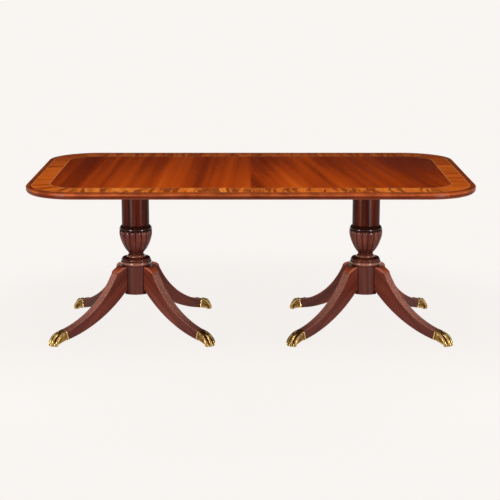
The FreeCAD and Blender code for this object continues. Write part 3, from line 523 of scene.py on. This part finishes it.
def leg_finish(name, axis, azimuth):
    """Mahogany for one leg: painted sheen on the reeds, painted highlights on the corners, redder knee flat.
    """
    leg = Finish(name, {"Specular IOR Level": 0.2, "Roughness": 0.28})
    here = leg.place.node("Mapping", {"vector_type": "TEXTURE"},
                          {"Vector": leg.place, "Location": (axis, 0, 0),
                           "Rotation": (0, 0, math.radians(azimuth))})
    plank = here.node("Mapping", {"vector_type": "TEXTURE"},
                      {"Vector": here, "Location": (axis + azimuth, azimuth, 0),
                       "Rotation": (0, math.radians(LEG_SLOPE), 0)})
    colour, pores = mahogany(plank, (0.06, 1, 1), tone(82, 31, 20), tone(108, 46, 32), tone(132, 62, 45))
    x, y, z = here.axes()
    upper = (here - SWEEP_CENTRE).axes()
    depth = (upper[0] * upper[0] + upper[2] * upper[2]).math("SQRT") - SWEEP
    past_knee = x.step(KNEE - KNEE_BLUR, KNEE + KNEE_BLUR)
    colour = (x.step(0.22, 0.43) * 0.45).mix(colour, tone(80, 36, 31))
    # The reeds get a painted sheen, strongest near the knee.
    reed_sheen = depth.step(REED_FOOT, REED_CREST) * past_knee * x.step(0.24, 0.44, 0.95, 0.4)
    colour = reed_sheen.mix(colour, tone(182, 122, 106))
    below_flat = FLAT_HEIGHT - (x - FLAT_START) * FLAT_SLOPE - z
    flat = below_flat.step(0.004, 0.001) * (1.0 - past_knee)
    colour = (flat * 0.8).mix(colour, tone(198, 96, 60))
    # The upper corners get painted highlights.
    corner = y.math("ABSOLUTE").step(*LEG_EDGE_HIGHLIGHT) * (depth.step(0.005, 0.002) * past_knee + flat)
    leg.feed("Base Color", (corner * 0.4).mix(colour, tone(176, 112, 92)))
    leg.bump(pores * -1.0, PORE_DEPTH)
    return leg


for side, axis in PEDESTALS.items():
    for corner, azimuth in LEGS.items():
        leg_finish(f"{side}_{corner}_leg", axis, azimuth).wear(f"{side}_{corner}_leg")

# %% [markdown]
# ## Hidden wood and metal
# Under the top are plain bearers, blocks and rails of sanded wood, steel screws and rods, and a cast iron
# plate below each hub. They are seen only from low angles, but a flat colour would still look unfinished.

# %% Carcase wood
SANDED_DEPTH = 0.0001

for name, grain, pieces in (
        ("carcase_wood_lengthwise", (0.05, 1, 1), ("top_core", "mounting_block", "front_rail", "rear_rail")),
        ("carcase_wood_crosswise", (1, 0.05, 1), ("bearers",))):
    carcase = Finish(name, {"Specular IOR Level": 0.3, "Roughness": 0.55})
    colour, pores = mahogany(carcase.place, grain, tone(78, 48, 30), tone(112, 74, 48), tone(142, 98, 66))
    carcase.feed("Base Color", colour)
    carcase.bump(pores * -1.0, SANDED_DEPTH)
    carcase.wear(*[f"{side}_{piece}" for side in PEDESTALS for piece in pieces])
    if "top_core" in pieces:
        carcase.wear("front_middle_rail", "rear_middle_rail")

# %% Steel and iron
GRIT_DEPTH = 0.0003

steel = Finish("bright_steel", {"Metallic": 1.0})
scratches = steel.place.noise((900, 900, 900), detail=2)
tarnish = steel.place.noise((60, 60, 60), detail=4)
steel.feed("Base Color", tarnish.stops((0.35, tone(120, 116, 112)), (0.65, tone(176, 174, 172))))
steel.feed("Roughness", scratches.step(0.3, 0.7, 0.25, 0.45))
steel.wear(*[f"{side}_{piece}" for side in PEDESTALS
             for piece in ("tie_rod", "rod_nuts", "base_screws", "top_screws")])

iron = Finish("cast_iron", {"Specular IOR Level": 0.4})
grit = iron.place.noise((700, 700, 700), detail=4, rough=0.7)
rust = iron.place.noise((40, 40, 40), detail=5).step(0.55, 0.75)
black = grit.stops((0.3, tone(26, 25, 25)), (0.7, tone(52, 50, 49)))
iron.feed("Base Color", (rust * 0.5).mix(black, tone(78, 48, 34)))
iron.feed("Roughness", grit.step(0.3, 0.7, 0.55, 0.8))
iron.bump(grit, GRIT_DEPTH)
iron.wear("left_base_plate", "right_base_plate")

# %% [markdown]
# ## Brass
# The paws, pins and latches are cast brass. Polish wears bright on the ridges, while the hollows keep a
# brown patina. Where a piece has a colour layer named polish, which is dark in its hollows, the patina
# follows it.

# %% Brass finish
POLISH_LAYER = "polish"


def painted_polish(place):
    """The painted colour layer as one number, near 1 on ridges and near 0 in hollows."""
    return place.node("Attribute", {"attribute_name": POLISH_LAYER}, out="Fac")


def brass_finish(name, painted):
    """Cloudy brass with specks, bright or brown by the painted polish or else in broad patches."""
    brass = Finish(name, {"Metallic": 1.0})
    place = brass.place
    wear_and_shade = painted_polish(place) if painted else place.noise((8, 8, 8))
    cloud = place.noise((90, 90, 90), detail=5, rough=0.6)
    specks = place.noise((700, 700, 700), detail=3)
    rubbed = wear_and_shade + (cloud - 0.5) * 0.35 + (specks - 0.5) * 0.15
    brass.feed("Base Color", rubbed.stops((0.24, tone(60, 42, 12)), (0.44, tone(112, 80, 34)),
                                          (0.6, tone(168, 130, 72)), (0.86, tone(238, 208, 146))))
    brass.feed("Roughness", rubbed.step(0.3, 0.8, 0.5, 0.26))
    return brass


fittings = brass_finish("fittings_brass", painted=False)
fittings.wear("seam_pins", "seam_sockets", "latch_pivots", "latch_keepers", "front_latch_lever",
              "rear_latch_lever")

# %% [markdown]
# ## Brass paws
# Each leg stands in a cast cap: a square ferrule with a rim, two smooth side panels, and four toes. The
# outer toes have ridges that run up to the ferrule's corners, with a sunk panel between them. Sculpting
# tools need a window, so the paw is blocked out as a modeller would lay strips of clay. A bar is extruded
# from section to section for the core, and rolls are laid along curves for the toes and claws. Voxel
# remeshing then welds them into one skin, which smoothing rounds over.

# %% Strips of clay
MILLIMETRES = 1000
ROUNDING = 0.2
TOUCHING = 1e-5


def bar(name, stations):
    """Extrude a square section with round corners along +X, through (x, z, width, height) in millimetres."""
    (x, z, width, height), *steps = [[size / MILLIMETRES for size in station] for station in stations]
    bpy.ops.object.select_all(action="DESELECT")
    bpy.ops.mesh.primitive_plane_add(size=1)
    made = bpy.context.object
    made.name = name
    bpy.ops.object.mode_set(mode="EDIT")
    bpy.ops.mesh.bevel(offset=ROUNDING, segments=5, affect="VERTICES")
    bpy.ops.object.mode_set(mode="OBJECT")
    made.rotation_euler = (0, math.pi / 2, 0)
    bpy.ops.object.transform_apply(rotation=True)
    made.scale = (1, width, height)
    made.location = (x, 0, z)
    bpy.ops.object.transform_apply(location=True, scale=True)
    bpy.ops.object.mode_set(mode="EDIT")
    bpy.ops.mesh.select_all(action="SELECT")
    for next_x, next_z, next_width, next_height in steps:
        bpy.ops.mesh.extrude_region_move(TRANSFORM_OT_translate={"value": (next_x - x, 0, next_z - z)})
        bpy.ops.transform.resize(value=(1, next_width / width, next_height / height),
                                 center_override=(next_x, 0, next_z))
        x, z, width, height = next_x, next_z, next_width, next_height
    bpy.ops.mesh.select_all(action="SELECT")
    bpy.ops.mesh.normals_make_consistent(inside=False)
    bpy.ops.object.mode_set(mode="OBJECT")
    return made


def roll(name, points):
    """A tapering roll along a smooth path of (x, y, z, radius) in millimetres."""
    bpy.ops.object.select_all(action="DESELECT")
    bpy.ops.curve.primitive_nurbs_path_add()
    made = bpy.context.object
    made.name = name
    path = made.data.splines[0]
    path.points.add(len(points) - len(path.points))
    for point, (x, y, z, radius) in zip(path.points, points):
        point.co = (x / MILLIMETRES, y / MILLIMETRES, z / MILLIMETRES, 1)
        point.radius = radius
    path.use_endpoint_u = True
    path.order_u = 4
    made.data.bevel_depth = 1 / MILLIMETRES
    made.data.bevel_resolution = 6
    made.data.use_fill_caps = True
    bpy.ops.object.convert(target="MESH")
    bpy.ops.object.mode_set(mode="EDIT")
    bpy.ops.mesh.select_all(action="SELECT")
    bpy.ops.mesh.remove_doubles(threshold=TOUCHING)
    bpy.ops.mesh.normals_make_consistent(inside=False)
    bpy.ops.object.mode_set(mode="OBJECT")
    return made


# %% The clay of one paw
CORE = ((0, 0, 44, 47), (0.6, 0, 46.5, 49.5), (5.4, 0, 46.5, 49.5), (6.6, 0, 43, 46), (9, -0.5, 41, 44),
        (20, -3.5, 39, 39), (34, -6, 41, 36), (48, -8.5, 42, 33), (60, -11.5, 41, 29), (69, -15.5, 36, 21),
        (75, -19, 30, 13))
OUTER_TOE = ((2, 17, 18.5, 4), (14, 18.5, 19.5, 4.2), (28, 19.2, 18.5, 4.6), (40, 21.8, 12, 5.8),
             (52, 23.2, 4, 7), (63, 23.4, -3, 8), (71, 22.2, -12, 8.6), (73, 21, -22, 8.2),
             (71, 20, -32, 6.5))
INNER_TOE = ((18, 4.6, 9, 3), (28, 6.6, 17, 4.8), (42, 8, 20.5, 6.6), (57, 8.2, 17, 7.2), (69, 8.1, 8, 7.4),
             (79, 7.9, -2.5, 8), (83, 7.7, -14, 8.4), (81, 7.6, -23, 7.8), (77, 7.5, -32, 6))
BETWEEN_TOES = ((26, 13, 4, 6), (38, 14.6, 4, 8), (50, 15.6, 0, 9), (62, 15.8, -6, 9), (70, 15.4, -14, 8.6),
                (72, 15, -23, 8), (69, 14.5, -32, 7))
MIDDLE = ((14, 0, -2, 10), (30, 0, 4, 12), (46, 0, 8, 12), (60, 0, 4, 12), (72, 0, -5, 11.5),
          (78, 0, -17, 11), (76, 0, -30, 9))
OUTER_CLAW = ((68, 23.4, -7, 3.6), (75, 23.6, -9, 3.8), (80, 23.2, -13, 3.2), (81.5, 22.8, -18, 2.4),
              (80.5, 22, -25, 1.4))
INNER_CLAW = ((80, 8, -3, 3.6), (87, 8.2, -5, 3.8), (91, 8.1, -9.5, 3.2), (92, 8, -14.5, 2.4),
              (91, 7.8, -22, 1.4))
ANKLE_SLOPE = 13
FERRULE = (0.418, 0, 0.0414)

strips = [bar("paw", CORE)]
strips.append(roll("middle", MIDDLE))
for name, points in (("outer_toe", OUTER_TOE), ("inner_toe", INNER_TOE), ("between_toes", BETWEEN_TOES),
                     ("outer_claw", OUTER_CLAW), ("inner_claw", INNER_CLAW)):
    for hand in (1, -1):
        strips.append(roll(name, [(x, y * hand, z, radius) for x, y, z, radius in points]))
print(len(strips), "strips of clay")

# %% One skin
VOXEL = 0.0007
FACES_SHARE = 0.22
LEVEL = 90


def dress(piece, *modifiers):
    """Add modifiers to the piece and apply each in turn."""
    bpy.context.view_layer.objects.active = piece
    for kind, settings in modifiers:
        modifier = piece.modifiers.new(kind.lower(), kind)
        for setting, value in settings.items():
            setattr(modifier, setting, value)
        bpy.ops.object.modifier_apply(modifier=modifier.name)


def paint_hollows(piece, spread, blur):
    """Paint a colour layer: 0.5 where flat, up to 1 on ridges and 0 in hollows that bend by the spread."""
    bpy.context.view_layer.objects.active = piece
    bpy.ops.geometry.color_attribute_add(name=POLISH_LAYER, domain="CORNER", data_type="FLOAT_COLOR",
                                         color=(1, 1, 1, 1))
    bpy.ops.paint.vertex_color_dirt(blur_strength=1.0, blur_iterations=blur,
                                    clean_angle=math.radians(LEVEL + spread),
                                    dirt_angle=math.radians(LEVEL - spread), normalize=False)


bpy.ops.object.select_all(action="DESELECT")
for strip in strips:
    strip.select_set(True)
paw = strips[0]
bpy.context.view_layer.objects.active = paw
bpy.ops.object.join()
paw.rotation_euler = (0, math.radians(ANKLE_SLOPE), 0)
paw.location = FERRULE
bpy.ops.object.transform_apply(location=True, rotation=True)
dress(paw, ("REMESH", {"mode": "VOXEL", "voxel_size": VOXEL}), ("SMOOTH", {"factor": 0.5, "iterations": 4}))
paint_hollows(paw, spread=4, blur=6)
dress(paw, ("DECIMATE", {"ratio": FACES_SHARE}))
print("skin", len(paw.data.polygons), "faces")

# %% A flat sole
BLOCK_SIZE = 0.4
BLOCK_REACH = 0.45
PAW_CREASE = 60

bpy.ops.object.select_all(action="DESELECT")
bpy.ops.mesh.primitive_cube_add(size=BLOCK_SIZE, location=(BLOCK_REACH, 0, -BLOCK_SIZE / 2))
block = bpy.context.object
dress(paw, ("BOOLEAN", {"operation": "DIFFERENCE", "solver": "EXACT", "object": block}))
bpy.data.objects.remove(block)
bpy.ops.object.select_all(action="DESELECT")
paw.select_set(True)
bpy.ops.object.shade_smooth_by_angle(angle=math.radians(PAW_CREASE))
paws_brass = brass_finish("paws_brass", painted=True)
paw.data.materials.clear()
paw.data.materials.append(paws_brass.material)
print("paw", len(paw.data.polygons), "faces")


# %% A paw for each leg
def copy_to(pattern, name, axis, azimuth):
    """Copy a piece that was modelled on the Z axis to a pedestal, turned about its column."""
    bpy.ops.object.select_all(action="DESELECT")
    pattern.select_set(True)
    bpy.context.view_layer.objects.active = pattern
    bpy.ops.object.duplicate(linked=False)
    copy = bpy.context.object
    copy.name = name
    copy.location = (axis, 0, 0)
    copy.rotation_euler = (0, 0, math.radians(azimuth))
    bpy.ops.object.transform_apply(location=True, rotation=True)
    return copy


for side, axis in PEDESTALS.items():
    for corner, azimuth in LEGS.items():
        copy = copy_to(paw, f"{side}_{corner}_lion_paw", axis, azimuth)
        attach(copy, f"{side}_half")
        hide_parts(f"{side}_{corner}_paw")
bpy.data.objects.remove(paw)
print("eight paws")

# %% [markdown]
# ## Carved urns
# Below each shaft is an urn: a rolled shoulder, a smooth band, and sixteen carved lobes that narrow down
# to a ringed neck. A lathe profile could be spun, but the lobes need one outline for every height, so a
# ring is extruded upwards from height to height, and its vertices between the lobes are scaled in towards
# the axis.

# %% Profile of the urn
LOBES = 16
FACETS = 12
SMOOTH_FOOT = ((361, 33.0), (363.6, 34.0), (364.6, 36.4), (366.2, 37.0), (369.2, 37.0), (370.4, 36.2),
               (371.0, 35.0))
LOBED = ((371.6, 35.8, 0.9, 0.6), (373, 38.0, 1.6, 0.85), (376, 41.6, 2.2, 1), (384, 48.4, 2.8, 1),
         (394, 55.2, 3.4, 1), (406, 61.8, 4.0, 1), (418, 67.2, 4.5, 1), (430, 72.0, 5.0, 1),
         (442, 75.9, 5.4, 1), (454, 78.9, 5.6, 1), (464, 80.3, 5.7, 1), (470, 80.6, 5.7, 0.98),
         (474, 80.4, 5.7, 0.9), (476.8, 79.9, 5.7, 0.75), (478.8, 79.2, 5.7, 0.55), (480, 78.2, 5.7, 0.3))
SHOULDER = ((481, 72.6), (481.6, 74.4), (482.4, 78.4), (484, 79.8), (486.2, 79.6), (487, 78.8),
            (488.2, 79.0), (491, 78.4), (494.4, 77.0), (498, 74.6), (501.6, 71.2), (504, 67.8), (505, 65.0))


def lobe_share(across, width):
    """How far a point of the ring lies below the crest of its lobe, as a share of the groove's depth."""
    return 1.0 if across >= width else 1.0 - math.sqrt(1.0 - (across / width) ** 2)


def ring_by_ring(name, rings, vertices):
    """A closed turned body: rings of a height and a radius in millimetres, each extruded from the last."""
    heights = [ring[0] / MILLIMETRES for ring in rings]
    radii = [ring[1] / MILLIMETRES for ring in rings]
    bpy.ops.object.select_all(action="DESELECT")
    bpy.ops.mesh.primitive_circle_add(vertices=vertices, radius=radii[0], location=(0, 0, heights[0]),
                                      fill_type="NGON")
    piece = bpy.context.object
    piece.name = name
    bpy.ops.object.transform_apply(location=True)
    bpy.ops.object.mode_set(mode="EDIT")
    bpy.ops.mesh.select_all(action="SELECT")
    for low, high, small, large in zip(heights, heights[1:], radii, radii[1:]):
        bpy.ops.mesh.extrude_region_move(TRANSFORM_OT_translate={"value": (0, 0, high - low)})
        bpy.ops.transform.resize(value=(large / small, large / small, 1), center_override=(0, 0, high))
    bpy.ops.mesh.select_all(action="SELECT")
    bpy.ops.mesh.normals_make_consistent(inside=False)
    bpy.ops.object.mode_set(mode="OBJECT")
    return piece


print(LOBES * FACETS, "vertices round each ring")

# %% One urn, ring by ring
urn = ring_by_ring("urn", SMOOTH_FOOT + LOBED + SHOULDER, LOBES * FACETS)
print("urn", len(urn.data.polygons), "faces before carving")

# %% Carve the lobes
TURNED_CREASE = 40

for height, radius, depth, width in LOBED:
    level = height / MILLIMETRES
    for facet in range(FACETS):
        sunk = depth * lobe_share(abs(2 * facet / FACETS - 1), width)
        if sunk == 0:
            continue
        for vertex in urn.data.vertices:
            place = vertex.co
            step = round(math.atan2(place.y, place.x) / (2 * math.pi) * LOBES * FACETS)
            vertex.select = abs(place.z - level) < TOUCHING and step % FACETS == facet
        bpy.ops.object.mode_set(mode="EDIT")
        share = 1 - sunk / radius
        bpy.ops.transform.resize(value=(share, share, 1), center_override=(0, 0, level))
        bpy.ops.mesh.select_all(action="DESELECT")
        bpy.ops.object.mode_set(mode="OBJECT")
bpy.ops.object.shade_smooth_by_angle(angle=math.radians(TURNED_CREASE))
paint_hollows(urn, spread=24, blur=1)
print("urn", len(urn.data.polygons), "faces")

# %% Urn finish and copies
LOBE_TOPS = (0.47, 0.474, 0.481, 0.482)
SHOULDER_FOOT = (0.4795, 0.4815)
SHOULDER_ROLL = (0.4875, 0.4885)
URN_TURN = 4

carved = Finish("carved_mahogany", {"Specular IOR Level": 0.12, **GLOSS})
place = carved.place
_, _, z = place.axes()
wear_and_shade = painted_polish(place)
colour, pores = mahogany(place, UPRIGHT, tone(78, 33, 24), tone(104, 49, 37), tone(126, 68, 54))
# The wood is darker towards the neck and on the shoulder, and painted shade darkens the grooves between the
# lobes.
colour = z.step(0.45, 0.375, 0.0, 0.7).mix(colour, tone(62, 20, 12))
colour = wear_and_shade.step(0.4, 0.56, 1.0, 0.0).mix(colour, tone(44, 11, 6))
carved.feed("Base Color", z.step(*SHOULDER_FOOT).mix(colour, tone(44, 13, 8)))
carved.feed("Coat Weight", z.band(*LOBE_TOPS) + z.step(*SHOULDER_ROLL))
carved.bump(pores * -1.0, PORE_DEPTH)
urn.data.materials.append(carved.material)
for side, axis in PEDESTALS.items():
    copy = copy_to(urn, f"{side}_carved_urn", axis, URN_TURN)
    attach(copy, f"{side}_half")
    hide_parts(f"{side}_fluted_urn")
bpy.data.objects.remove(urn)
print("two urns")

# %% [markdown]
# ## Collars
# The urn stands on a turned collar: a broad ring, a thin one, a flat shelf, and a small bell that narrows to
# the neck. The turner cuts it from one block, so it is one body here too, ring by ring like the urn. A spun
# profile would give the same shape, but its seam and its two poles would have to be merged afterwards.

# %% Collar, ring by ring
COLLAR = ((312.4, 69.0), (313.2, 71.4), (315.2, 73.2), (318.5, 74.2), (325.5, 74.2), (328.6, 73.6),
          (331, 72.2), (332.6, 70.4), (333.4, 69.0), (333.8, 67.8), (334.6, 69.0), (336, 70.0), (338, 70.2),
          (339.6, 69.6), (340.8, 68.4), (341.4, 67.2), (341.9, 66.2), (342.5, 66.8), (344, 66.8),
          (345.6, 66.2), (346.8, 65.0), (347.4, 63.2), (347.6, 59.0), (347.8, 54.0), (348.2, 50.4),
          (349, 47.2), (350, 44.8), (351.2, 43.2), (352.4, 42.4), (354, 42.1), (355.6, 41.9), (357, 41.3),
          (358.2, 40.2), (359.6, 38.4), (361, 36.4), (362.4, 34.8), (364, 33.4))
ROUND = 96

collar = ring_by_ring("collar", COLLAR, ROUND)
bpy.ops.object.shade_smooth_by_angle(angle=math.radians(TURNED_CREASE))
collar.data.materials.append(turned_finishes["collar"].material)
for side, axis in PEDESTALS.items():
    copy = copy_to(collar, f"{side}_bell_collar", axis, 0)
    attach(copy, f"{side}_half")
    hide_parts(f"{side}_collar")
print("two collars of", len(collar.data.polygons), "faces")
bpy.data.objects.remove(collar)

# %% [markdown]
# ## Seam
# The halves meet in the middle. Light would shine through the fine gap between them, so a thin dark strip on
# the left half's meeting edge, bevelled along its edges, fills it as painted shade.

# %% Dark strip in the seam
SEAM_SIZE = (0.00056, 1.19, 0.0288)
SEAM_PLACE = (-0.00002, 0, 0.7449)
SEAM_BEVEL = 0.0001

bpy.ops.object.select_all(action="DESELECT")
bpy.ops.mesh.primitive_cube_add(size=1, location=SEAM_PLACE)
seam = bpy.context.object
seam.name = "seam_shade_strip"
seam.scale = SEAM_SIZE
bpy.ops.object.transform_apply(location=True, scale=True)
bpy.ops.object.mode_set(mode="EDIT")
bpy.ops.mesh.bevel(offset=SEAM_BEVEL, segments=2, affect="EDGES")
bpy.ops.object.mode_set(mode="OBJECT")
# The strip's dark colour is painted shade for the gap.
seam_shade = Finish("seam_painted_shade", {"Specular IOR Level": 0.1, "Roughness": 0.6})
lines = seam_shade.place.noise((1, 30, 900))
seam_shade.feed("Base Color", lines.stops((0.3, tone(26, 10, 6)), (0.7, tone(46, 18, 11))))
seam.data.materials.append(seam_shade.material)
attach(seam, "left_half")
print("seam strip", len(seam.data.polygons), "faces")
